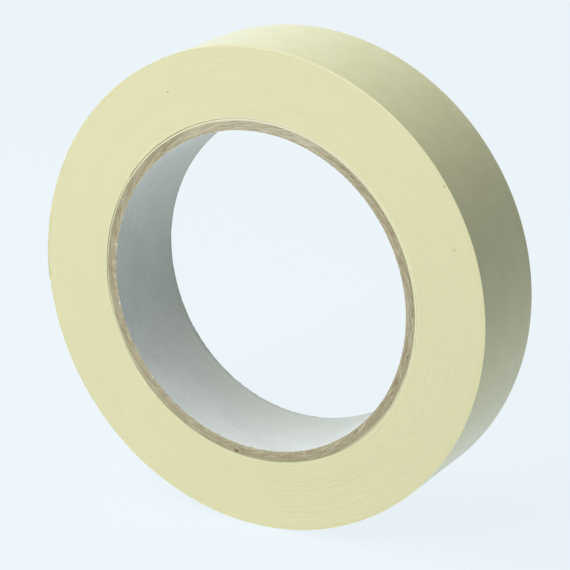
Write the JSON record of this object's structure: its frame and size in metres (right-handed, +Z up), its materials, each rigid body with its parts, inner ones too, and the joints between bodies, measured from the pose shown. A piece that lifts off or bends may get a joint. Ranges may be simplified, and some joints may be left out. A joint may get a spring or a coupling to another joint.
{
  "type": "masking tape roll",
  "caption": "Roll of cream crepe-paper masking tape on a spiral-wound board core, with a free end that peels up.",
  "frame": {"origin": "on the axis of the core's bore, halfway across the tape's width", "axes": "+Y along the bore from the front side face to the back one, +Z up with the roll standing on its rim, +X to the right seen from the front"},
  "size_m": [0.1155, 0.0248, 0.1154],
  "materials": {
    "crepe_tape": "matt creped paper, pale cream yellow",
    "adhesive": "thin tacky film, slightly glossy",
    "core_board": "raw cut edge of grey-brown board",
    "liner_paper": "smooth pale grey-white paper"
  },
  "bodies": {
    "roll": {"core_liner": "liner_paper", "core_board_ply_1": "core_board", "core_board_ply_2": "core_board", "core_board_ply_3": "core_board", "core_board_ply_4": "core_board", "tape_first_turns": "crepe_tape", "tape_wound_pack": "crepe_tape"},
    "tape_end": {"tape_end_backing": "crepe_tape", "tape_end_adhesive": "adhesive"}
  },
  "joints": [
    {"name": "tape_end_peel", "type": "hinge", "parent": "roll", "child": "tape_end", "pos_m": [-0.05608, 0, 0.01398], "axis": [0, 1, 0], "range_deg": [0, 150]}
  ]
}
